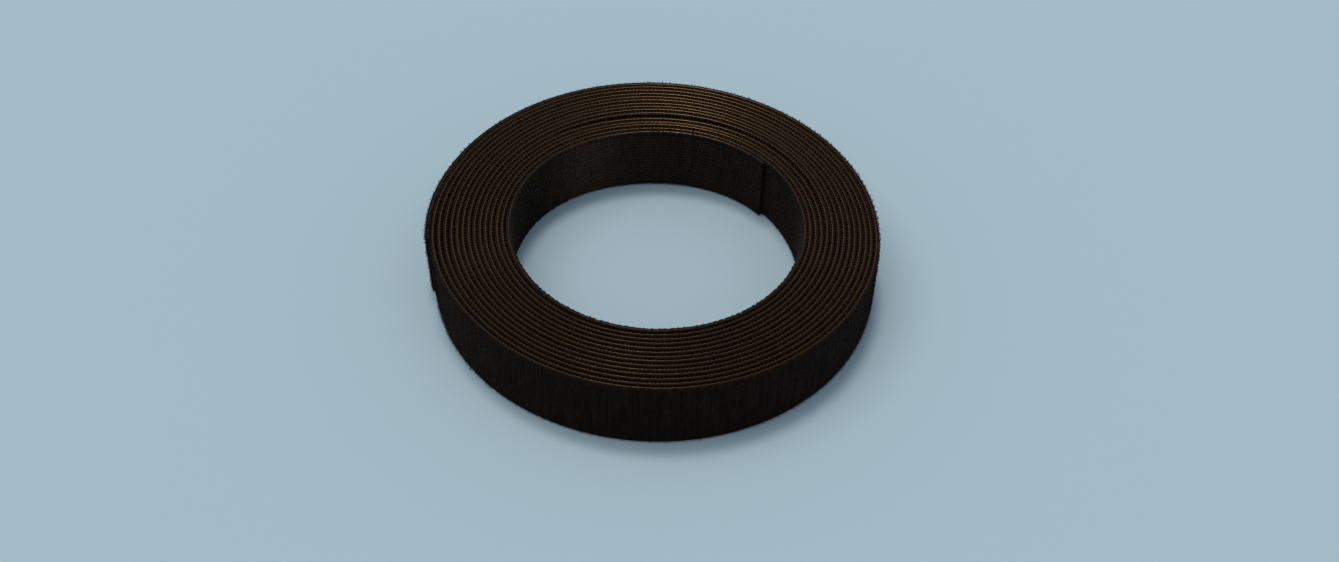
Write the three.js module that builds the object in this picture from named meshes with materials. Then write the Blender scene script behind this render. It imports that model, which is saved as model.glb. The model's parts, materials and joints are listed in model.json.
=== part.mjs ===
// A roll of back-to-back hook and loop tape, wound on itself with no core and lying flat.
// Millimetres, +Z up. The origin is on the winding axis, on the surface that the roll lies on.
// Seen from above, the tape runs anticlockwise from its inner end to its outer end, with its hooks
// facing the bore and its loop pile facing out.
import * as THREE from 'three';

// Section of the tape, from the hook face to the loop face
const tapeWidth = 25;
const hookWebThickness = 0.4;
const bondFilmThickness = 0.15;
const loopWebThickness = 0.5;
const bondFilmMargin = 0.5; // bare strip along both edges, where the film stops short

// Winding
const boreRadius = 48.95; // to the hook face at the inner end, on the even spiral
const turnGap = 0.84; // room between two turns for the hooks and the pile
const turns = 14.41;
const stepsPerTurn = 25;
const innerEndAzimuth = THREE.MathUtils.degToRad(42.3);

// Slack on one side of the roll: the passes inside a wide gap are dented in, and beside the dent the first
// passes inside the gap and outside it bulge. Each spread is to either side of its azimuth.
const turnsInsideGap = 5;
const dentAzimuth = THREE.MathUtils.degToRad(98);
const dentSpread = THREE.MathUtils.degToRad(52);
const dentDepth = 1.4; // of the last pass inside the gap
const firstTurnDent = 0.5; // by which the innermost pass goes in further than the next one
const bulgeAzimuth = THREE.MathUtils.degToRad(45);
const bulgeSpread = THREE.MathUtils.degToRad(65);
const innerBulge = 0.7;
const outerBulge = 0.95;
const turnsToEase = 5; // passes over which a bulge dies away

// Free ends, each a row of short lengths on hinge lines across the tape, one step of the winding long
const outerTailPieces = 6;
const innerTailPieces = 4;
const hingeGap = 0.3;

const tapeThickness = hookWebThickness + bondFilmThickness + loopWebThickness;
const turnPitch = tapeThickness + turnGap;
const lastStep = Math.round(turns * stepsPerTurn);
const stepAngle = (2 * Math.PI * turns) / lastStep;
const outerTailStart = lastStep - outerTailPieces;

const layers = [
  {
    name: 'hook_web',
    innerDepth: 0,
    outerDepth: hookWebThickness,
    margin: 0,
    material: new THREE.MeshStandardMaterial({ color: 0x241e1a, roughness: 0.5, metalness: 0 }),
  },
  {
    name: 'bond_film',
    innerDepth: hookWebThickness,
    outerDepth: hookWebThickness + bondFilmThickness,
    margin: bondFilmMargin,
    material: new THREE.MeshStandardMaterial({ color: 0x4a3a2c, roughness: 0.4, metalness: 0 }),
  },
  {
    name: 'loop_web',
    innerDepth: hookWebThickness + bondFilmThickness,
    outerDepth: tapeThickness,
    margin: 0,
    material: new THREE.MeshStandardMaterial({ color: 0x141212, roughness: 0.95, metalness: 0 }),
  },
];

// Share of a dent or bulge at an angular distance from its middle: a cosine squared over its spread.
function shareAt(away, spread) {
  return Math.abs(away) < spread ? Math.cos(((away / spread) * Math.PI) / 2) ** 2 : 0;
}

// Extra radius on the slack side of the roll, where the pass is counted from the innermost one. The dent
// deepens from pass to pass up to the wide gap, and each bulge eases off from pass to pass.
function slackAt(angle) {
  const pass = Math.round((angle - (dentAzimuth + bulgeAzimuth) / 2) / (2 * Math.PI));
  const azimuth = angle - pass * 2 * Math.PI;
  const insideGap = pass < turnsInsideGap;
  const eased = Math.max(0, 1 - (insideGap ? pass : pass - turnsInsideGap) / turnsToEase);
  const bulge = (insideGap ? innerBulge : outerBulge) * eased * shareAt(azimuth - bulgeAzimuth, bulgeSpread);
  if (!insideGap) return bulge;
  const deepened = (pass + turnsInsideGap) / (2 * turnsInsideGap - 1);
  const depth = dentDepth * deepened + (pass === 0 ? firstTurnDent : 0);
  return bulge - depth * shareAt(azimuth - dentAzimuth, dentSpread);
}

// Corner of the wound tape at a whole step from the inner end, at a depth from the hook face.
function tapeCorner(step, depth) {
  const wound = step * stepAngle;
  const angle = innerEndAzimuth + wound;
  const radius = boreRadius + (turnPitch * wound) / (2 * Math.PI) + slackAt(angle) + depth;
  return new THREE.Vector2(radius * Math.cos(angle), radius * Math.sin(angle));
}

// Point of the tape at any station, counted in steps: between two corners the tape is flat.
function tapePoint(station, depth) {
  const step = Math.floor(station);
  return tapeCorner(step, depth).lerp(tapeCorner(step + 1, depth), station - step);
}

// Half the hinge gap, in steps of the length that starts at this corner.
function endTrim(step) {
  return hingeGap / 2 / tapeCorner(step, 0).distanceTo(tapeCorner(step + 1, 0));
}

// Both ends of a length of tape and every corner between them.
function stationsBetween(start, end) {
  const stations = [start];
  for (let step = Math.floor(start) + 1; step < end; step += 1) stations.push(step);
  stations.push(end);
  return stations;
}

// One layer of a length of tape: a closed strip with four corners at each station, about a pivot.
function stripGeometry(stations, layer, pivot) {
  const bottom = layer.margin;
  const top = tapeWidth - layer.margin;
  const positions = [];
  for (const station of stations) {
    const inner = tapePoint(station, layer.innerDepth).sub(pivot);
    const outer = tapePoint(station, layer.outerDepth).sub(pivot);
    positions.push(inner.x, inner.y, bottom, outer.x, outer.y, bottom);
    positions.push(outer.x, outer.y, top, inner.x, inner.y, top);
  }
  const sides = 4;
  const last = (stations.length - 1) * sides;
  const triangles = [0, 1, 2, 0, 2, 3, last, last + 2, last + 1, last, last + 3, last + 2];
  for (let ring = 0; ring < last; ring += sides) {
    for (let side = 0; side < sides; side += 1) {
      const here = ring + side;
      const beside = ring + ((side + 1) % sides);
      triangles.push(here, here + sides, beside + sides, here, beside + sides, beside);
    }
  }
  const geometry = new THREE.BufferGeometry();
  geometry.setAttribute('position', new THREE.Float32BufferAttribute(positions, 3));
  geometry.setIndex(triangles);
  geometry.computeVertexNormals();
  return geometry;
}

// A length of tape as a group of its three layers, with the group's origin at the pivot.
function tapeLength(name, start, end, pivot) {
  const group = new THREE.Group();
  group.name = name;
  const stations = stationsBetween(start, end);
  for (const layer of layers) {
    const mesh = new THREE.Mesh(stripGeometry(stations, layer, pivot), layer.material);
    mesh.name = `${name}_${layer.name}`;
    group.add(mesh);
  }
  return group;
}

// Hangs a tail on the roll, each length on the one before it, so that turning a group bends the tail there.
function addTail(roll, lengths) {
  let carrier = roll;
  let carrierPivot = new THREE.Vector2();
  for (const { name, start, end, pivot } of lengths) {
    const group = tapeLength(name, start, end, pivot);
    group.position.set(pivot.x - carrierPivot.x, pivot.y - carrierPivot.y, 0);
    carrier.add(group);
    carrier = group;
    carrierPivot = pivot;
  }
}

// The outer tail hinges on its loop face, so that each joint opens as the tail is peeled off the roll.
function outerTail() {
  return Array.from({ length: outerTailPieces }, (_, index) => {
    const step = outerTailStart + index;
    const free = step + 1 === lastStep;
    return {
      name: `outer_tail_${index + 1}`,
      start: step + endTrim(step),
      end: step + 1 - (free ? 0 : endTrim(step)),
      pivot: tapeCorner(step, tapeThickness),
    };
  });
}

// The inner tail hinges on its hook face, so that each joint opens as the tail is pulled into the bore.
function innerTail() {
  return Array.from({ length: innerTailPieces }, (_, index) => {
    const step = innerTailPieces - 1 - index;
    const free = step === 0;
    return {
      name: `inner_tail_${index + 1}`,
      start: step + (free ? 0 : endTrim(step)),
      end: step + 1 - endTrim(step),
      pivot: tapeCorner(step + 1, 0),
    };
  });
}

// Least distance from the loop face to the hook face of a later turn, on points half a step apart.
function leastTurnGap() {
  const stations = Array.from({ length: 2 * lastStep + 1 }, (_, index) => index / 2);
  const hookFace = stations.map((station) => tapePoint(station, 0));
  const loopFace = stations.map((station) => tapePoint(station, tapeThickness));
  let least = Infinity;
  loopFace.forEach((outer, index) => {
    for (let later = index + stepsPerTurn; later < hookFace.length; later += 1) {
      least = Math.min(least, outer.distanceTo(hookFace[later]));
    }
  });
  return least;
}

const roll = new THREE.Group();
const woundStart = innerTailPieces + endTrim(innerTailPieces);
const woundEnd = outerTailStart - endTrim(outerTailStart - 1);
roll.add(tapeLength('wound', woundStart, woundEnd, new THREE.Vector2()));
addTail(roll, outerTail());
addTail(roll, innerTail());

console.log(`least gap between turns ${leastTurnGap().toFixed(2)} mm`);

export default roll;
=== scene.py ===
"""A coreless roll of back-to-back hook and loop tape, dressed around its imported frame."""

import json
import math
from typing import NamedTuple

import bpy
import numpy as np
from mathutils import Matrix

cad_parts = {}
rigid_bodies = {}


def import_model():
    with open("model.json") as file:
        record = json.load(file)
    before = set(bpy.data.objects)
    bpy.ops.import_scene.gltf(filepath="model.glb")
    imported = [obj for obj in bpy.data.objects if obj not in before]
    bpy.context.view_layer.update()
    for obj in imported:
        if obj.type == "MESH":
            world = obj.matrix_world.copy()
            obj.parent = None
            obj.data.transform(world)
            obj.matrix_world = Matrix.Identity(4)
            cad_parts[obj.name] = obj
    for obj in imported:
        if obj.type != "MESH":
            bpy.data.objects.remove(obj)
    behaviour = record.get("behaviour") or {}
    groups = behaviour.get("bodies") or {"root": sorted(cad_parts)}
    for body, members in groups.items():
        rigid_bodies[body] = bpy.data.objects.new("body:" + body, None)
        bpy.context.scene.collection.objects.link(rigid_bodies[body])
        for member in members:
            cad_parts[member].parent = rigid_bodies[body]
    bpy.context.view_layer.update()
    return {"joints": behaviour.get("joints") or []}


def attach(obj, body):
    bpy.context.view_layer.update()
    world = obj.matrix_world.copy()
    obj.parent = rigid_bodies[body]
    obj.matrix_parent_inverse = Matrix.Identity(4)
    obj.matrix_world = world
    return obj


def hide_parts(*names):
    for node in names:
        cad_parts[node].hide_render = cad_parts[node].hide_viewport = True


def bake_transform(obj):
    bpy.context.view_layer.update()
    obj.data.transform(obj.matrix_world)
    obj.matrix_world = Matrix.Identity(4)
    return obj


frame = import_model()

# Hook web. A black nylon strip, extruded with rows of small hooks on one face, slit to width and bonded
# back to back with the loop web. It lies on the inside of every turn, so its hooks line the bore.
# The tape is made flat, in mm along, up and through it, and then wound by one function.
MM = 0.001
TAPE_WIDTH = 25.0
HOOK_WEB_THICKNESS = 0.4
BOND_FILM_THICKNESS = 0.15
LOOP_WEB_THICKNESS = 0.5
TAPE_THICKNESS = HOOK_WEB_THICKNESS + BOND_FILM_THICKNESS + LOOP_WEB_THICKNESS

BORE_RADIUS = 48.95
TURN_PITCH = 1.89
TURNS = 14.41
STEPS_PER_TURN = 25
LAST_STEP = round(TURNS * STEPS_PER_TURN)
STEP_ANGLE = 2 * math.pi * TURNS / LAST_STEP
INNER_END_AZIMUTH = math.radians(42.3)
INNER_TAIL_STEPS = 4
OUTER_TAIL_STEPS = 6
BEND_REACH = 0.5  # a free end bends over this many steps to either side of a joint
WOUND_START = INNER_TAIL_STEPS + BEND_REACH
WOUND_END = LAST_STEP - OUTER_TAIL_STEPS - BEND_REACH

TURNS_INSIDE_GAP = 5
DENT_AZIMUTH, DENT_SPREAD = math.radians(98), math.radians(52)
DENT_DEPTH, FIRST_TURN_DENT = 1.4, 0.5
BULGE_AZIMUTH, BULGE_SPREAD = math.radians(45), math.radians(65)
INNER_BULGE, OUTER_BULGE, TURNS_TO_EASE = 0.7, 0.95, 5

TWISTED_LENGTH = 40.0
TWIST_AT_LOWER_EDGE, TWIST_AT_UPPER_EDGE = -0.5, -0.3
LEAN, LEAN_SPREAD = 0.8, math.radians(35)
UPRIGHT_PASS, PASSES_TO_EASE = 4, 3
UNEVENNESS, UNEVEN_LENGTHS, UNEVEN_PHASES = 0.07, (210, 83, 31), (0.4, 1.9, 0.7)
EDGE_RISE = 0.16
EDGE_WANDER, WANDER_LENGTHS, WANDER_PHASES = 0.09, (640, 233, 71), (0.5, 2.1, 4.0)


def slack_at(angle):
    """Extra radius on the slack side of the roll, in mm. The turns inside the wide gap are dented in, the
    nearer to the gap the deeper, and beside the dent the turns inside and outside the gap bulge, each by
    less than the one before it. Over its spread a dent or bulge is a squared cosine."""
    turn = np.round((angle - (DENT_AZIMUTH + BULGE_AZIMUTH) / 2) / (2 * np.pi))
    azimuth = angle - turn * 2 * np.pi
    dent_share, bulge_share = (
        np.cos(np.minimum(np.abs(azimuth - middle) / spread, 1) * np.pi / 2) ** 2
        for middle, spread in ((DENT_AZIMUTH, DENT_SPREAD), (BULGE_AZIMUTH, BULGE_SPREAD)))
    inside = turn < TURNS_INSIDE_GAP
    eased = np.maximum(0, 1 - np.where(inside, turn, turn - TURNS_INSIDE_GAP) / TURNS_TO_EASE)
    deepened = (turn + TURNS_INSIDE_GAP) / (2 * TURNS_INSIDE_GAP - 1)
    dent = np.where(inside, DENT_DEPTH * deepened, 0) + np.where(turn == 0, FIRST_TURN_DENT, 0)
    return np.where(inside, INNER_BULGE, OUTER_BULGE) * eased * bulge_share - dent * dent_share


SAMPLES_PER_STEP = 20
spiral_steps = np.linspace(0, LAST_STEP, SAMPLES_PER_STEP * LAST_STEP + 1)
spiral_angles = INNER_END_AZIMUTH + spiral_steps * STEP_ANGLE
spiral_radii = (BORE_RADIUS + TURN_PITCH * spiral_steps * STEP_ANGLE / (2 * np.pi)
                + slack_at(spiral_angles))
spiral_along = np.append(0, np.cumsum(np.hypot(
    np.diff(spiral_radii), spiral_radii[1:] * np.diff(spiral_angles))))


def lean_at(angle):
    """How far the upper edge leans out beside the outer end, in mm. Counted back from that end, the first
    two passes lean by the whole, and the next ones by a third less each, until one stands upright. Over
    its spread the lean is a squared cosine."""
    back = spiral_angles[-1] - angle
    passes = np.round(back / (2 * np.pi))
    away = np.minimum(np.abs(back - passes * 2 * np.pi) / LEAN_SPREAD, 1)
    eased = np.clip((UPRIGHT_PASS - passes) / PASSES_TO_EASE, 0, 1)
    return LEAN * eased * np.cos(away * np.pi / 2) ** 2


def along_at(step):
    """Length of tape from the inner end to a step of the winding, in mm."""
    return np.interp(step, spiral_steps, spiral_along)


def waves(along, lengths, phases):
    """Sum of sine waves of these lengths along the tape, each as high as its share of the longest."""
    return sum(length / lengths[0] * np.sin(2 * np.pi * along / length + phase)
               for length, phase in zip(lengths, phases))


def wind(flat):
    """Winds points of the flat tape, given as along, height and depth in mm, and gives metres.
    The length along the tape sets the azimuth. The radius is the spiral's plus the slack, a small
    unevenness, the depth, the lean in proportion to the height, and near the outer end a twist, which
    pulls the lower edge in further than the upper one, with the square of the twisted share. The height
    also wanders a little, always upwards, and what would reach below the floor lies flat on it."""
    along, height, depth = np.moveaxis(flat, -1, 0)
    step = np.interp(along, spiral_along, spiral_steps)
    angle = INNER_END_AZIMUTH + step * STEP_ANGLE
    twisted_share = np.maximum(0, 1 - (spiral_along[-1] - along) / TWISTED_LENGTH)
    twist = TWIST_AT_LOWER_EDGE + (TWIST_AT_UPPER_EDGE - TWIST_AT_LOWER_EDGE) * height / TAPE_WIDTH
    unevenness = UNEVENNESS * waves(along, UNEVEN_LENGTHS, UNEVEN_PHASES)
    radius = (np.interp(step, spiral_steps, spiral_radii) + lean_at(angle) * height / TAPE_WIDTH
              + twist * twisted_share**2 + unevenness + depth)
    rise = EDGE_RISE + EDGE_WANDER * waves(along, WANDER_LENGTHS, WANDER_PHASES)
    level = np.maximum(height + rise, 0)
    points = np.stack([radius * np.cos(angle), radius * np.sin(angle), level], -1)
    return points * MM


class FlatShape(NamedTuple):
    """Part of a piece on the flat tape: its points, its faces, where each corner of a face lies on the
    baked map, one tone for each point, by which its colour is lighter or darker, and which faces with four
    corners lie on a slit edge."""
    points: np.ndarray
    quads: np.ndarray
    triangles: np.ndarray
    quad_map: np.ndarray
    triangle_map: np.ndarray
    tone: np.ndarray
    on_slit: np.ndarray


NO_TRIANGLES = np.zeros((0, 3), int)
NO_TRIANGLE_MAP = np.zeros((0, 3, 2))
STATIONS_PER_STEP = 6
EDGE_ZONE = 8.0  # from a slit edge to the nearest row of points on the open face
# Over this length the cut ends get a dark tone, a painted shade where the cut faces lie in shadow.
CUT_END_LENGTH, CUT_END_PAINTED_SHADE = 0.03, 0.25
MAP_ROWS = 10


def in_box(places, box):
    """Fits places on the unit square into a box of the baked map, (left, bottom, right, top)."""
    left, bottom, right, top = box
    return np.array([left, bottom]) + places * np.array([right - left, top - bottom])


def strip(start, end, inner, outer, margin, rounding, rake, map_rows, map_box=(0, 0, 1, 1), shade=1.0):
    """One layer of a length of tape: a rectangle with rounded corners, carried from step to step. Both slit
    edges are raked: they fall off towards the inner face, in proportion to the depth.
    The section runs up the inner face and down the outer one, so that rungs across it close both ends,
    where the cut is darkened as painted shade. On the baked map the strip is folded into rows, with its two
    ends in a narrow column beside them."""
    bend = np.radians([0, 30, 60, 90])
    corner_height, corner_depth = rounding * (1 - np.cos(bend)), rounding * (1 - np.sin(bend))
    bottom, top = margin, TAPE_WIDTH - margin
    levels = np.array([bottom + 2 * rounding, bottom + EDGE_ZONE, top - EDGE_ZONE, top - 2 * rounding])
    side_height = np.concatenate([bottom + corner_height, levels, top - corner_height[::-1]])
    side_depth = np.concatenate([corner_depth, 0 * levels, corner_depth[::-1]])
    height = np.append(side_height, side_height[::-1])
    depth = np.append(inner + side_depth, outer - side_depth[::-1])
    height = height - np.sign(height - TAPE_WIDTH / 2) * rake * (outer - depth) / (outer - inner)
    first, last = along_at(start), along_at(end)
    between = along_at(np.arange(start, end + 1e-6, 1 / STATIONS_PER_STEP)[1:-1])
    along = np.concatenate([
        [first, first + CUT_END_LENGTH], between, [last - CUT_END_LENGTH, last]])

    stations, ring = len(along), len(height)
    points = np.stack(np.broadcast_arrays(along[:, None], height, depth), -1).reshape(-1, 3)
    here = np.arange(stations * ring).reshape(stations, ring)
    beside = np.roll(here, -1, axis=1)
    walls = np.stack([here[:-1], beside[:-1], beside[1:], here[1:]], -1).reshape(-1, 4)
    rung = np.arange(ring // 2 - 1)
    rungs = np.stack([rung, rung + 1, ring - 2 - rung, ring - 1 - rung], -1)
    quads = np.concatenate([walls, rungs[:, ::-1], here[-1, 0] + rungs])

    row_gap, row_fill, rows_wide = 0.05, 0.9, 0.96
    end_left, end_right, end_shift = 0.965, 0.98, 0.017
    station, side = (x.ravel() for x in np.indices((stations - 1, ring)))
    row = station * map_rows // (stations - 1)
    across = station * map_rows / (stations - 1) - row
    wide = map_rows / (stations - 1)
    up = (row + row_gap + row_fill * side / ring) / map_rows
    tall = row_fill / ring / map_rows
    wall_map = np.stack([
        np.stack([across, up], -1), np.stack([across, up + tall], -1),
        np.stack([across + wide, up + tall], -1), np.stack([across + wide, up], -1)], 1)
    wall_map[..., 0] *= rows_wide / (1 + wide)
    rung_up, rung_tall = rung / len(rung), 1 / len(rung)
    end_map = np.stack([
        np.stack([0 * rung_up + u, rung_up + v], -1)
        for u, v in ((end_left, 0), (end_left, rung_tall), (end_right, rung_tall), (end_right, 0))], 1)
    quad_map = np.concatenate([wall_map, end_map[:, ::-1], end_map + np.array([end_shift, 0])])
    tone = np.full((stations, ring), shade)
    # Painted shade on both cut ends.
    tone[[0, -1]] = CUT_END_PAINTED_SHADE
    corners = len(bend)
    from_corner = (side + corners) % (ring // 2)
    on_slit = np.append(from_corner < 2 * corners - 1, np.zeros(2 * len(rungs), bool))
    return FlatShape(points, quads, NO_TRIANGLES, in_box(quad_map, map_box), NO_TRIANGLE_MAP,
                     tone.ravel(), on_slit)


CELL_GAP, CELL_FILL = 0.08, 0.84


def cells(count, corner_places, map_box):
    """Gives each of many like shapes a square cell of the baked map and lays its corners out in it."""
    side = math.ceil(math.sqrt(max(count, 1)))
    column, row = np.arange(count) % side, np.arange(count) // side
    corner = np.stack([column, row], -1)[:, None, None, :]
    places = (corner + CELL_GAP + CELL_FILL * corner_places) / side
    return in_box(places.reshape(-1, *corner_places.shape[1:]), map_box)


draw = np.random.default_rng(25)
HOOK_PITCH, EDGE_HOOK_PITCH, FRINGE_PITCH = 0.9, 1.35, 0.45
HOOK_ROWS = np.linspace(0.9, TAPE_WIDTH - 0.5, 18)
FRINGE_ROWS = TAPE_WIDTH - np.array([0.62, 0.3])
FRINGE_SWELL, FRINGE_SWELL_LENGTH = 0.17, 2.1
HOOK_STRAY, HOOK_DROP, HOOK_SIZE_SPREAD = 0.1, 0.12, 0.08
HOOK_SHADE, EDGE_HOOK_SHADE, FRINGE_HOOK_SHADE = 1.1, 1.0, 0.3
HOOK_TONE_SPREAD, HOOK_TONE_LIMITS = 0.12, (0.6, 1.4)


def hooks(start, end, rows, shade, map_box=(0, 0, 1, 1), pitch=HOOK_PITCH, swell=0.0):
    """Rows of moulded hooks on the inner face, bent forwards in one row and backwards in the next, each a
    little out of its place. Where they swell, their size follows a cosine along the tape.
    A hook is four square rings along a stem that rises from the web, leans over and points back down,
    each ring set square to the stem there, with a small face at either end."""
    first, last = along_at(start), along_at(end)
    count = round((last - first) / pitch)
    columns = first + (last - first) * (np.arange(count) + 0.5) / count
    row, column = (x.ravel() for x in np.indices((len(rows), len(columns))))
    along = columns[column] + draw.normal(0, HOOK_STRAY, len(row))
    up = rows[row] - np.abs(draw.normal(0, HOOK_DROP, len(row)))
    facing = np.where(row % 2, 1.0, -1.0)
    swollen = 1 + swell * np.cos(2 * np.pi * columns / FRINGE_SWELL_LENGTH)
    size = swollen[column] * draw.normal(1, HOOK_SIZE_SPREAD, len(row))

    stem = np.array([[0, -0.08], [0.02, 0.33], [0.15, 0.5], [0.38, 0.38]])
    direction = np.array([[0, 1], [0.25, 0.97], [0.9, 0.43], [0.7, -0.71]])
    half_thick, half_wide = np.array([0.26, 0.17, 0.13, 0.06]), np.array([0.3, 0.27, 0.23, 0.13])
    square = np.stack([direction[:, 1], -direction[:, 0]], -1)
    ring_sign = np.array([[1, 1], [-1, 1], [-1, -1], [1, -1]])
    in_plane = stem[:, None] + ring_sign[:, :1] * (half_thick[:, None] * square)[:, None]
    sideways = np.broadcast_to(ring_sign[:, 1] * half_wide[:, None], (4, 4))
    shape = np.stack([in_plane[..., 0], sideways, -in_plane[..., 1]], -1).reshape(-1, 3)

    base = np.stack([along, up, 0 * along], -1)[:, None]
    turned = shape * np.stack([facing, facing, np.ones(len(facing))], -1)[:, None] * size[:, None, None]
    points = (base + turned).reshape(-1, 3)
    ring = np.arange(len(shape)).reshape(4, 4)
    beside = np.roll(ring, -1, axis=1)
    faces = np.concatenate([
        np.stack([ring[:-1], ring[1:], beside[1:], beside[:-1]], -1).reshape(-1, 4),
        ring[:1], ring[-1:, ::-1]])
    quads = (faces + len(shape) * np.arange(len(along))[:, None, None]).reshape(-1, 4)

    patch = np.arange(len(faces))
    lower_left = np.stack([patch % 4, patch // 4], -1) / 4
    patch_wide = 0.2
    corner_places = lower_left[:, None] + patch_wide * np.array([[0, 0], [0, 1], [1, 1], [1, 0]])
    quad_map = cells(len(along), corner_places[None], map_box)
    tone = shade * np.clip(draw.normal(1, HOOK_TONE_SPREAD, len(along)), *HOOK_TONE_LIMITS)
    return FlatShape(points, quads, NO_TRIANGLES, quad_map, NO_TRIANGLE_MAP,
                     np.repeat(tone, len(shape)), np.zeros(len(quads), bool))


def wound_piece(name, shapes, materials):
    """Winds flat shapes into one smooth mesh, with the place of every point on the flat tape and its
    tone kept as attributes for the materials, and its map for baking. A second material goes on the
    slit edges."""
    offsets = np.cumsum([0] + [len(shape.points) for shape in shapes])
    flat = np.concatenate([shape.points for shape in shapes])
    quads = np.concatenate([shape.quads + start for shape, start in zip(shapes, offsets)])
    triangles = np.concatenate([shape.triangles + start for shape, start in zip(shapes, offsets)])
    corners = np.concatenate([quads.ravel(), triangles.ravel()])
    starts = np.append(4 * np.arange(len(quads)), 4 * len(quads) + 3 * np.arange(len(triangles)))
    places = np.concatenate([np.concatenate([shape.quad_map.reshape(-1, 2) for shape in shapes]),
                             np.concatenate([shape.triangle_map.reshape(-1, 2) for shape in shapes])])

    mesh = bpy.data.meshes.new(name)
    mesh.vertices.add(len(flat))
    mesh.vertices.foreach_set("co", wind(flat).ravel())
    mesh.loops.add(len(corners))
    mesh.loops.foreach_set("vertex_index", corners)
    mesh.polygons.add(len(starts))
    mesh.polygons.foreach_set("loop_start", starts)
    mesh.uv_layers.new(name="OFBake").uv.foreach_set("vector", places.ravel())
    mesh.attributes.new("flat_tape", "FLOAT_VECTOR", "POINT").data.foreach_set("vector", flat.ravel())
    tone = np.concatenate([shape.tone for shape in shapes])
    mesh.attributes.new("tone", "FLOAT", "POINT").data.foreach_set("value", tone)
    for material in materials:
        mesh.materials.append(material)
    on_slit = np.concatenate([shape.on_slit for shape in shapes])
    if len(materials) > 1:
        chosen = np.append(on_slit, np.zeros(len(triangles))).astype(int)
        mesh.polygons.foreach_set("material_index", chosen)
    mesh.update(calc_edges=True)
    mesh.shade_smooth()
    piece = bpy.data.objects.new(name, mesh)
    bpy.context.scene.collection.objects.link(piece)
    return piece


def feed(tree, socket, value):
    """Links a socket to a value that comes from another node, or sets it to a plain one."""
    if isinstance(value, bpy.types.NodeSocket):
        tree.links.new(value, socket)
    else:
        socket.default_value = value


def made_by(tree, kind, inputs, output=0, **settings):
    """Adds a node with these inputs and settings, and gives the output named or numbered."""
    node = tree.nodes.new(kind)
    for name, value in settings.items():
        setattr(node, name, value)
    for key, value in inputs.items():
        feed(tree, node.inputs[key], value)
    return node.outputs[output]


def computed(tree, operation, first, second=0.0):
    """One sum, product or other plain operation on two values."""
    return made_by(tree, "ShaderNodeMath", {0: first, 1: second}, operation=operation)


def between_colours(tree, share, dark, light):
    """A colour between two, by a share from 0 to 1."""
    return made_by(tree, "ShaderNodeMix", {0: share, 6: dark, 7: light}, 2, data_type="RGBA")


def between_values(tree, share, at_none, at_full):
    """A value between two, by a share from 0 to 1."""
    return made_by(tree, "ShaderNodeMapRange", {0: share, 3: at_none, 4: at_full})


NOISE_LOW, NOISE_HIGH = 0.34, 0.66
STREAK_STRETCH = 0.05
BEAD_SWAY, BEAD_SWAY_SCALE = 3.0, 0.4
BEAD_LOW, BEAD_HIGH = -0.7, 0.8
# The band of painted reflection: a warm highlight painted along the bore wall. It starts here, comes back
# after this length along the tape, and is narrowed by this power.
REFLECTION_BAND_START, REFLECTION_BAND_LENGTH, REFLECTION_BAND_POWER = 21.5, 190.0, 12.0


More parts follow.
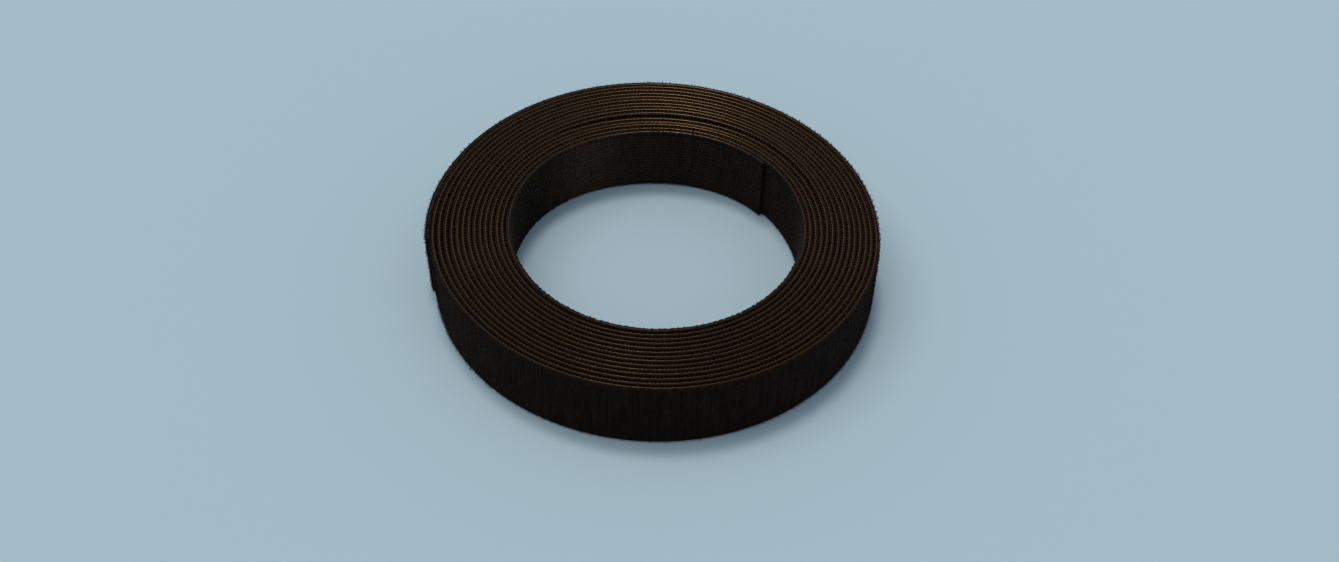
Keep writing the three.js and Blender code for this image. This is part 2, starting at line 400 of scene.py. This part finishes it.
def tape_marks_group():
    """Marks that follow the flat tape: streaks across it, a fine mottle, beads along it, a band of painted
    reflection that comes back along it, and a border that fades in from the slit edges, each from 0 to 1.
    The first two are noise, stretched to its full range, the beads a sine whose phase sways with noise, and
    the band of painted reflection a high power of a sine."""
    group = bpy.data.node_groups.new("tape_marks", "ShaderNodeTree")
    for name, value in (("Streak Width", 2.0), ("Mottle Size", 0.4), ("Bead Length", 2.7),
                        ("Border Width", 1.0)):
        socket = group.interface.new_socket(name, in_out="INPUT", socket_type="NodeSocketFloat")
        socket.default_value = value
    for name in ("Streaks", "Mottle", "Beads", "Painted Reflection", "Border"):
        group.interface.new_socket(name, in_out="OUTPUT", socket_type="NodeSocketFloat")
    given = group.nodes.new("NodeGroupInput").outputs
    put_out = group.nodes.new("NodeGroupOutput").inputs

    def put_out_noise(name, dimensions, **inputs):
        noise = made_by(group, "ShaderNodeTexNoise", {"Scale": 1.0, **inputs}, noise_dimensions=dimensions)
        feed(group, put_out[name], made_by(group, "ShaderNodeMapRange", {
            0: noise, 1: NOISE_LOW, 2: NOISE_HIGH}))

    place = made_by(group, "ShaderNodeAttribute", {}, "Vector", attribute_name="flat_tape")
    split = group.nodes.new("ShaderNodeSeparateXYZ")
    feed(group, split.inputs[0], place)
    along, height = split.outputs[0], split.outputs[1]
    streak_place = made_by(group, "ShaderNodeCombineXYZ", {
        0: computed(group, "DIVIDE", along, given["Streak Width"]),
        1: computed(group, "MULTIPLY", height, STREAK_STRETCH)})
    put_out_noise("Streaks", "2D", Vector=streak_place, Detail=3.0, Roughness=0.6)
    put_out_noise("Mottle", "3D", Detail=2.0, Vector=made_by(group, "ShaderNodeVectorMath", {
        0: place, "Scale": computed(group, "DIVIDE", 1.0, given["Mottle Size"])}, operation="SCALE"))
    bead = computed(group, "DIVIDE", along, given["Bead Length"])
    sway = made_by(group, "ShaderNodeTexNoise", {"W": bead, "Scale": BEAD_SWAY_SCALE, "Detail": 1.0},
                   noise_dimensions="1D")
    swayed = computed(group, "ADD", bead, computed(group, "MULTIPLY", sway, BEAD_SWAY))
    beads = computed(group, "SINE", computed(group, "MULTIPLY", swayed, 2 * math.pi))
    feed(group, put_out["Beads"], made_by(group, "ShaderNodeMapRange", {
        0: beads, 1: BEAD_LOW, 2: BEAD_HIGH}, interpolation_type="SMOOTHSTEP"))
    wave = computed(group, "SINE", computed(
        group, "MULTIPLY", computed(group, "SUBTRACT", along, REFLECTION_BAND_START), 2 * math.pi / REFLECTION_BAND_LENGTH))
    feed(group, put_out["Painted Reflection"], computed(group, "POWER", computed(group, "MAXIMUM", wave, 0.0), REFLECTION_BAND_POWER))
    from_middle = computed(group, "ABSOLUTE", computed(group, "SUBTRACT", height, TAPE_WIDTH / 2))
    from_edge = computed(group, "SUBTRACT", TAPE_WIDTH / 2, from_middle)
    feed(group, put_out["Border"], made_by(group, "ShaderNodeMapRange", {
        0: computed(group, "DIVIDE", from_edge, given["Border Width"]), 3: 1.0, 4: 0.0},
        interpolation_type="SMOOTHSTEP"))
    return group


def tape_material(name, gloss, gloss_tint, **marks):
    """A new material with the tape's marks and tone: gives it, its tree, its shader, the marks and tone."""
    material = bpy.data.materials.new(name)
    material.use_nodes = True
    tree = material.node_tree
    shader = tree.nodes["Principled BSDF"]
    shader.inputs["Specular IOR Level"].default_value = gloss
    shader.inputs["Specular Tint"].default_value = gloss_tint
    group = tree.nodes.new("ShaderNodeGroup")
    group.node_tree = tape_marks
    for key, value in marks.items():
        group.inputs[key.replace("_", " ")].default_value = value
    tone = made_by(tree, "ShaderNodeAttribute", {}, "Fac", attribute_name="tone")
    return material, tree, shader, group.outputs, tone


def toned(tree, colour, tone):
    """A colour made lighter or darker by the tone."""
    return made_by(tree, "ShaderNodeVectorMath", {0: colour, "Scale": tone}, operation="SCALE")


def bumped(tree, shader, height, depth_mm, strength=1.0):
    """Raises the shader's surface by a height from 0 to 1, as many mm at most."""
    feed(tree, shader.inputs["Normal"], made_by(tree, "ShaderNodeBump", {
        "Height": height, "Distance": depth_mm * MM, "Strength": strength}))


tape_marks = tape_marks_group()
hook_nylon, tree, shader, marks, tone = tape_material(
    "hook_nylon", gloss=0.12, gloss_tint=(1, 0.8, 0.65, 1), Streak_Width=3.0, Mottle_Size=0.9)
# The face colour follows the streaks. They are partly tone that differs at random and partly painted
# reflection streaks on the bore wall.
FACE_BLACKS = (0.0145, 0.0109, 0.0091, 1), (0.0185, 0.0139, 0.0115, 1)
# Warm browns of a painted reflection on the bore wall, laid over the face colour where the band's mark
# rises.
PAINTED_REFLECTION_BROWNS = (0.044, 0.0262, 0.0178, 1), (0.051, 0.0306, 0.0207, 1)
face = between_colours(tree, marks["Streaks"], *FACE_BLACKS)
painted_reflection = between_colours(tree, marks["Streaks"], *PAINTED_REFLECTION_BROWNS)
colour = between_colours(tree, marks["Painted Reflection"], face, painted_reflection)
feed(tree, shader.inputs["Base Color"], toned(tree, colour, tone))
feed(tree, shader.inputs["Roughness"], between_values(tree, marks["Streaks"], at_none=0.62, at_full=0.55))
bumped(tree, shader, marks["Mottle"], depth_mm=0.02, strength=0.5)

slit_nylon, tree, shader, marks, tone = tape_material(
    "slit_nylon", gloss=0.72, gloss_tint=(1, 0.62, 0.3, 1), Mottle_Size=0.5, Bead_Length=2.7)
SLIT_BLACKS = (0.003, 0.0018, 0.0014, 1), (0.0125, 0.0075, 0.0052, 1)
colour = between_colours(tree, marks["Beads"], *SLIT_BLACKS)
feed(tree, shader.inputs["Base Color"], toned(tree, colour, tone))
feed(tree, shader.inputs["Roughness"], between_values(tree, marks["Beads"], at_none=0.3, at_full=0.27))
bumped(tree, shader, marks["Mottle"], depth_mm=0.02, strength=0.08)

# The hooks beside the slit edges are painted brown and lighter than the web. This is a painted glow that
# stands in for light shining through the thin nylon into the gaps between turns.
edge_glow_nylon, tree, shader, marks, tone = tape_material(
    "edge_glow_nylon", gloss=0.15, gloss_tint=(1, 0.6, 0.3, 1), Mottle_Size=0.9)
EDGE_GLOW_BROWNS = (0.019, 0.0076, 0.0019, 1), (0.029, 0.0118, 0.003, 1)
colour = between_colours(tree, marks["Mottle"], *EDGE_GLOW_BROWNS)
feed(tree, shader.inputs["Base Color"], toned(tree, colour, tone))
feed(tree, shader.inputs["Roughness"], between_values(tree, marks["Mottle"], at_none=0.62, at_full=0.48))
bumped(tree, shader, marks["Mottle"], depth_mm=0.02, strength=0.5)

HOOK_LAYER = (0.0, HOOK_WEB_THICKNESS)
HOOK_EDGE_ROUNDING, HOOK_EDGE_RAKE = 0.14, 0.115
HOOK_FINISH = (hook_nylon, slit_nylon)
hook_strip = wound_piece(
    "hook_strip",
    [strip(WOUND_START, WOUND_END, *HOOK_LAYER, margin=0, rounding=HOOK_EDGE_ROUNDING,
           rake=HOOK_EDGE_RAKE, map_rows=MAP_ROWS)],
    HOOK_FINISH)
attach(hook_strip, "roll")
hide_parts("wound_hook_web")

BORE_TURN_END = WOUND_START + STEPS_PER_TURN
bore_hooks = wound_piece(
    "bore_hooks", [hooks(WOUND_START, BORE_TURN_END, HOOK_ROWS, HOOK_SHADE)], [hook_nylon])
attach(bore_hooks, "roll")

bore_fringe = wound_piece(
    "bore_fringe",
    [hooks(WOUND_START, BORE_TURN_END, FRINGE_ROWS, FRINGE_HOOK_SHADE, pitch=FRINGE_PITCH,
           swell=FRINGE_SWELL)],
    [hook_nylon])
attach(bore_fringe, "roll")

# Hooks by the slit edges of the wound turns, which carry the painted glow.
EDGE_HOOK_ROWS = HOOK_ROWS[[0, -2, -1]]
HALF_WAY = 206  # about half of the tape between the bore's turn and the outer end lies before this step
for name, start, end in (("inner", BORE_TURN_END, HALF_WAY), ("outer", HALF_WAY, WOUND_END)):
    edge_hooks = wound_piece(
        f"edge_hooks_{name}_turns",
        [hooks(start, end, EDGE_HOOK_ROWS, EDGE_HOOK_SHADE, pitch=EDGE_HOOK_PITCH)],
        [edge_glow_nylon])
    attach(edge_hooks, "roll")


def tail_lengths(tail):
    """The lengths of a free end, from the winding to the cut. Each runs from half a step before its joint
    to half a step after it, and the last one on to the cut. Each has the two bodies that its joint is
    between, its first and last step, and the points where its bend starts and ends."""
    joints = [joint for joint in frame["joints"] if joint["name"].startswith(f"{tail}_peel")]
    outwards, first, cut, depth = (
        (1, WOUND_END, LAST_STEP, TAPE_THICKNESS) if tail == "outer" else (-1, WOUND_START, 0, 0))
    for number, joint in enumerate(joints):
        near = first + outwards * number
        far = near + outwards
        last = cut if joint is joints[-1] else far
        bend = [wind(np.array([along_at(step), TAPE_WIDTH / 2, depth])) for step in (near, far)]
        yield joint["parent"], joint["child"], min(near, last), max(near, last), *bend


def hang_tail(tail, layer, shapes_between, materials, slot):
    """Makes one layer of a free end, length by length, and for each length hides the frame's part of its
    body in that layer.
    """
    made = []
    for number, (carrier, body, start, end, bend_start, bend_end) in enumerate(tail_lengths(tail), 1):
        piece = wound_piece(f"{tail}_end_{layer}_{number}", shapes_between(start, end), materials)
        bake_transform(piece)
        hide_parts(f"{body}_{slot}")
        made.append(piece)
    return made


STRIP_MAP, DETAIL_MAP, FRINGE_MAP = (0, 0, 1, 0.3), (0, 0.3, 1, 0.88), (0, 0.89, 1, 1)
TAIL_SHADE = 0.5


def hook_tail_shapes(start, end):
    """A length of hook web with all its hooks. A fringe is drawn for every length, so that the draws keep
    their order, and goes only where the web lines the bore."""
    in_bore = start < WOUND_START
    web = strip(start, end, *HOOK_LAYER, margin=0, rounding=HOOK_EDGE_ROUNDING, rake=HOOK_EDGE_RAKE,
                map_rows=1, map_box=STRIP_MAP, shade=1.0 if in_bore else TAIL_SHADE)
    fringe = hooks(start, end, FRINGE_ROWS, FRINGE_HOOK_SHADE, FRINGE_MAP, FRINGE_PITCH, FRINGE_SWELL)
    face_hooks = hooks(start, end, HOOK_ROWS, HOOK_SHADE, DETAIL_MAP)
    return [web, face_hooks, fringe] if in_bore else [web, face_hooks]


for tail in ("outer", "inner"):
    hang_tail(tail, "hooks", hook_tail_shapes, HOOK_FINISH, "hook_web")

# Bond film. The thin brownish layer that laminates the two webs, rolled on hot and stopping short of the
# slit edges, where it shows as a groove between them.
FILM_MARGIN, FILM_ROUNDING = 0.5, 0.04
FILM_LAYER = (HOOK_WEB_THICKNESS, HOOK_WEB_THICKNESS + BOND_FILM_THICKNESS)
bond_brown, tree, shader, marks, tone = tape_material(
    "bond_brown", gloss=0.4, gloss_tint=(1, 0.8, 0.6, 1), Streak_Width=5.0, Mottle_Size=0.6)
FILM_BROWNS = (0.03, 0.02, 0.013, 1), (0.06, 0.04, 0.025, 1)
colour = between_colours(tree, marks["Mottle"], *FILM_BROWNS)
feed(tree, shader.inputs["Base Color"], toned(tree, colour, tone))
feed(tree, shader.inputs["Roughness"], between_values(tree, marks["Streaks"], at_none=0.35, at_full=0.55))
bumped(tree, shader, marks["Mottle"], depth_mm=0.015, strength=0.5)


def film_shapes(start, end, map_rows=1):
    """A length of the film, with edges that aren't raked."""
    return [strip(start, end, *FILM_LAYER, margin=FILM_MARGIN, rounding=FILM_ROUNDING, rake=0,
                  map_rows=map_rows)]


bond_strip = wound_piece(
    "bond_strip", film_shapes(WOUND_START, WOUND_END, MAP_ROWS), [bond_brown])
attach(bond_strip, "roll")
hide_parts("wound_bond_film")
for tail in ("outer", "inner"):
    hang_tail(tail, "film", film_shapes, [bond_brown], "bond_film")

# Loop web. A black nylon knit brushed on its outer face, so that fine loops stand up from it in a matt
# pile. It is the outside of every turn, and its pile is what the hooks of the next turn catch in.
LOOP_LAYER = (HOOK_WEB_THICKNESS + BOND_FILM_THICKNESS, TAPE_THICKNESS)
LOOP_EDGE_ROUNDING = 0.22
RIB_PITCH = 1.35
LOW_RIB, HIGH_RIB = 0.85, 1.6
LOOP_SPACING, EDGE_LOOP_SPACING, RIM_SPACING = 0.36, 0.5, 0.17
LOOP_STRAY, STRAY_LIMITS = 0.17, (0.05, 0.95)
LEAST_LOOP, LOOP_GROWTH = 0.8, 0.6
LOOP_LEAN = np.array([0.45, 0.25])
STRAND_RADIUS = 0.06
LIFTED_LENGTH, MORE_LIFT_AT_TOP = 25.0, 1.2
RIB_TONE_SPREAD, LOOP_TONE_SPREAD, LOOP_TONE_LIMITS = 0.4, 0.22, (0.3, 2.2)
LINT_SHARE, LINT_TONE = 0.0008, 14.0


def pile(start, end, bottom, top, spacing, map_box=(0, 0, 1, 1)):
    """Brushed loops on the outer face, turned every way, in ribs that run across the tape: each rib has a
    tone of its own, and loops stray from it by a share of the pitch. Every second rib is high. Most loops
    are short and a few stand proud, as a cube of an even draw, and a very few have caught pale lint. Under
    the outer end, which pulls at them, they are longer towards its cut, and most so at the upper edge.
    A loop is a thin three-sided strand on five points: a foot in the web, a swelling shoulder, the crown,
    the other shoulder and the other foot. It leans over by a share of its height."""
    first, last = along_at(start), along_at(end)
    ribs, loops = max(1, round((last - first) / RIB_PITCH)), max(1, round((top - bottom) / spacing))
    rib, loop = (x.ravel() for x in np.indices((ribs, loops)))
    count = len(rib)
    in_rib = np.clip(draw.normal(0.5, LOOP_STRAY, count), *STRAY_LIMITS)
    along = first + (last - first) * (rib + in_rib) / ribs
    up = bottom + (top - bottom) * (loop + draw.uniform(0, 1, count)) / loops
    heading = draw.uniform(0, 2 * np.pi, count)
    size = LEAST_LOOP + LOOP_GROWTH * draw.uniform(0, 1, count) ** 3
    lean = draw.normal(0, 1, (count, 2)) * LOOP_LEAN

    path = np.array([[-0.24, -0.06], [-0.36, 0.18], [0.0, 0.36], [0.36, 0.18], [0.24, -0.06]])
    outwards = np.array([[-1.0, 0.0], [0.0, 1.0], [1.0, 0.0]])
    third = 2 * np.pi / 3 * np.arange(3)
    rings = path[1:4, None] + STRAND_RADIUS * np.cos(third)[:, None] * outwards[:, None]
    plane = np.concatenate([path[:1], rings.reshape(9, 2), path[4:]])
    across = np.concatenate([[0], np.tile(STRAND_RADIUS * np.sin(third), 3), [0]])

    to_cut = along_at(LAST_STEP - STEPS_PER_TURN) - along
    under_end = np.where(to_cut > 0, np.maximum(0, 1 - to_cut / LIFTED_LENGTH), 0)
    lifted = under_end * (1 + MORE_LIFT_AT_TOP * up / TAPE_WIDTH)
    tallness = np.where(rib % 2, HIGH_RIB, LOW_RIB) * (1 + lifted)
    out = plane[:, 1] * (size * tallness)[:, None]
    run, wide = plane[:, 0] * size[:, None], across * np.ones((count, 1))
    cosine, sine = np.cos(heading)[:, None], np.sin(heading)[:, None]
    points = np.stack([
        along[:, None] + run * cosine - wide * sine + lean[:, :1] * np.maximum(out, 0),
        up[:, None] + run * sine + wide * cosine + lean[:, 1:] * np.maximum(out, 0),
        TAPE_THICKNESS + out], -1).reshape(-1, 3)

    ring = 1 + np.arange(9).reshape(3, 3)
    beside = np.roll(ring, -1, axis=1)
    quad = np.stack([ring[:-1], ring[1:], beside[1:], beside[:-1]], -1).reshape(-1, 4)
    triangle = np.concatenate([
        np.stack([np.zeros(3, int), ring[0], beside[0]], -1),
        np.stack([np.full(3, len(plane) - 1), beside[2], ring[2]], -1)])
    each = len(plane) * np.arange(count)[:, None, None]
    patch_size = np.array([0.28, 0.2])
    left = np.tile(np.arange(3) / 3, 2)
    quad_corner, triangle_corner = (
        np.stack([left, np.repeat(low, 3)], -1)[:, None] for low in ([0.25, 0.5], [0, 0.75]))
    quad_places = quad_corner + patch_size * np.array([[0, 0], [0, 1], [1, 1], [1, 0]])
    triangle_places = triangle_corner + patch_size * np.array([[0, 0], [0.5, 1], [1, 0]])
    rib_tone = draw.normal(1, RIB_TONE_SPREAD, ribs)
    tone = np.clip(rib_tone[rib] * draw.normal(1, LOOP_TONE_SPREAD, count), *LOOP_TONE_LIMITS)
    tone[draw.uniform(0, 1, count) < LINT_SHARE] = LINT_TONE
    return FlatShape(points, (quad + each).reshape(-1, 4), (triangle + each).reshape(-1, 3),
                     cells(count, quad_places[None], map_box), cells(count, triangle_places[None], map_box),
                     np.repeat(tone, len(plane)), np.zeros(count * len(quad), bool))


loop_knit, tree, shader, marks, tone = tape_material(
    "loop_knit", gloss=0.1, gloss_tint=(1, 0.75, 0.6, 1),
    Streak_Width=1.2, Mottle_Size=0.7, Border_Width=1.2)
shader.inputs["Sheen Weight"].default_value = 0.03
shader.inputs["Sheen Tint"].default_value = (1, 0.8, 0.68, 1)
KNIT_BLACKS = (0.0039, 0.0023, 0.0018, 1), (0.0103, 0.006, 0.0048, 1)
# Near the slit edges the pile fades to brown. This is painted light, which lightens the gaps between the
# turns.
GAP_LIGHT_BROWN = (0.0105, 0.0045, 0.0023, 1)
ground = between_colours(tree, marks["Streaks"], *KNIT_BLACKS)
colour = between_colours(tree, marks["Border"], ground, GAP_LIGHT_BROWN)
feed(tree, shader.inputs["Base Color"], toned(tree, colour, tone))
feed(tree, shader.inputs["Roughness"], between_values(tree, marks["Mottle"], at_none=0.75, at_full=0.95))
bumped(tree, shader, marks["Mottle"], depth_mm=0.06, strength=0.7)

slit_knit, tree, shader, marks, tone = tape_material(
    "slit_knit", gloss=0.12, gloss_tint=(1, 0.6, 0.3, 1), Mottle_Size=0.5, Bead_Length=2.7)
SLIT_BROWNS = (0.005, 0.002, 0.0008, 1), (0.011, 0.0045, 0.0018, 1)
colour = between_colours(tree, marks["Beads"], *SLIT_BROWNS)
feed(tree, shader.inputs["Base Color"], toned(tree, colour, tone))
feed(tree, shader.inputs["Roughness"], between_values(tree, marks["Mottle"], at_none=0.7, at_full=0.5))
bumped(tree, shader, marks["Mottle"], depth_mm=0.06, strength=0.7)

LOOP_FINISH = (loop_knit, slit_knit)
loop_strip = wound_piece(
    "loop_strip",
    [strip(WOUND_START, WOUND_END, *LOOP_LAYER, margin=0, rounding=LOOP_EDGE_ROUNDING, rake=0,
           map_rows=MAP_ROWS)],
    LOOP_FINISH)
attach(loop_strip, "roll")
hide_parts("wound_loop_web")

loop_pieces = []
OUTER_TURN_START = WOUND_END - STEPS_PER_TURN
PILE_BAND, RIM_BAND = (0.1, TAPE_WIDTH - 0.1), (TAPE_WIDTH - 1.2, TAPE_WIDTH - 0.15)
PILE_MAP, RIM_MAP = (0, 0, 1, 0.85), (0, 0.86, 1, 1)
third_turns = np.linspace(OUTER_TURN_START, WOUND_END, 4)
for number, (start, end) in enumerate(zip(third_turns[:-1], third_turns[1:]), 1):
    outer_pile = wound_piece(
        f"outer_pile_{number}",
        [pile(start, end, *PILE_BAND, LOOP_SPACING, PILE_MAP),
         pile(start, end, *RIM_BAND, RIM_SPACING, RIM_MAP)], [loop_knit])
    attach(outer_pile, "roll")
    loop_pieces.append(outer_pile)

UPPER_EDGE_BAND, LOWER_EDGE_BAND = (TAPE_WIDTH - 1.6, TAPE_WIDTH - 0.3), (0.1, 0.8)
UPPER_EDGE_MAP, LOWER_EDGE_MAP = (0, 0, 1, 0.66), (0, 0.67, 1, 1)
for name, start, end in (("inner", WOUND_START, HALF_WAY), ("outer", HALF_WAY, OUTER_TURN_START)):
    edge_pile = wound_piece(
        f"edge_pile_{name}_turns",
        [pile(start, end, *UPPER_EDGE_BAND, EDGE_LOOP_SPACING, UPPER_EDGE_MAP),
         pile(start, end, *LOWER_EDGE_BAND, EDGE_LOOP_SPACING, LOWER_EDGE_MAP)], [loop_knit])
    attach(edge_pile, "roll")
    loop_pieces.append(edge_pile)


def loop_tail_shapes(start, end):
    """A length of loop web with all its pile, darker on the outer end."""
    web = strip(start, end, *LOOP_LAYER, margin=0, rounding=LOOP_EDGE_ROUNDING, rake=0, map_rows=1,
                map_box=STRIP_MAP, shade=TAIL_SHADE if start >= WOUND_END else 1.0)
    return [web, pile(start, end, *PILE_BAND, LOOP_SPACING, DETAIL_MAP)]


for tail in ("outer", "inner"):
    loop_pieces += hang_tail(tail, "loops", loop_tail_shapes, LOOP_FINISH, "loop_web")

# Floor. A plain pale blue surface, painted matt, on which the roll lies with its lower slit edges. It is
# wide enough to fill every view that looks down on the roll.
FLOOR_HALF = 6.0
floor_mesh = bpy.data.meshes.new("floor")
floor_mesh.from_pydata([(-FLOOR_HALF, -FLOOR_HALF, 0), (FLOOR_HALF, -FLOOR_HALF, 0),
                        (FLOOR_HALF, FLOOR_HALF, 0), (-FLOOR_HALF, FLOOR_HALF, 0)], [], [(0, 1, 2, 3)])
floor = bpy.data.objects.new("floor", floor_mesh)
bpy.context.scene.collection.objects.link(floor)
FLOOR_BLUE = (0.353, 0.476, 0.545, 1)
floor_paint = bpy.data.materials.new("floor_paint")
floor_paint.use_nodes = True
shader = floor_paint.node_tree.nodes["Principled BSDF"]
for key, value in (("Base Color", FLOOR_BLUE), ("Roughness", 0.9), ("Specular IOR Level", 0.1)):
    shader.inputs[key].default_value = value
floor_mesh.materials.append(floor_paint)

# Light. One broad lamp high to the left of the roll, so diffuse that nothing mirrors it, a narrower one
# behind it, which gives the slit edges their glint, and an even light from all round.
LAMP_COLOUR = (1, 0.91, 0.83)
EVEN_LIGHT = (0.423, 0.475, 0.532, 1)
for name, energy, degrees_wide, azimuth, elevation, mirrored in (
        ("key_lamp", 0.95, 44, 178, 67, False), ("glint_lamp", 1.1, 12, 110, 77, True)):
    lamp_data = bpy.data.lights.new(name, "SUN")
    lamp_data.energy = energy
    lamp_data.color = LAMP_COLOUR
    lamp_data.angle = math.radians(degrees_wide)
    lamp = bpy.data.objects.new(name, lamp_data)
    lamp.rotation_euler = (0, math.radians(90 - elevation), math.radians(azimuth))
    lamp.visible_glossy = mirrored
    bpy.context.scene.collection.objects.link(lamp)

world = bpy.data.worlds.new("studio")
world.use_nodes = True
bpy.context.scene.world = world
world.node_tree.nodes["Background"].inputs["Color"].default_value = EVEN_LIGHT

# Camera. It stands in front of the roll and looks down on it at about 45 degrees, slightly tilted. Its
# focal length is in pixels of the image, and its yaw, pitch and roll are in radians.
IMAGE_WIDTH = 1339
FOCAL_PIXELS = 1712.2
CAMERA_PLACE = np.array([9.91, -427.08, 422.01]) * MM
YAW, PITCH, ROLL = -0.0099, 0.7823, 0.0413
forward = np.array([math.sin(YAW) * math.cos(PITCH), math.cos(YAW) * math.cos(PITCH), -math.sin(PITCH)])
level_right = np.cross(forward, [0, 0, 1])
level_right /= np.linalg.norm(level_right)
level_up = np.cross(level_right, forward)
right = math.cos(ROLL) * level_right + math.sin(ROLL) * level_up
up = math.cos(ROLL) * level_up - math.sin(ROLL) * level_right
camera_data = bpy.data.cameras.new("camera")
camera_data.sensor_width = 36.0
camera_data.lens = FOCAL_PIXELS * camera_data.sensor_width / IMAGE_WIDTH
camera_data.clip_start, camera_data.clip_end = 0.01, 50
camera = bpy.data.objects.new("camera", camera_data)
bpy.context.scene.collection.objects.link(camera)
camera.matrix_world = Matrix([*np.stack([right, up, -forward, CAMERA_PLACE], 1).tolist(), (0, 0, 0, 1)])
bpy.context.scene.camera = camera
bpy.context.scene.view_settings.view_transform = "Standard"
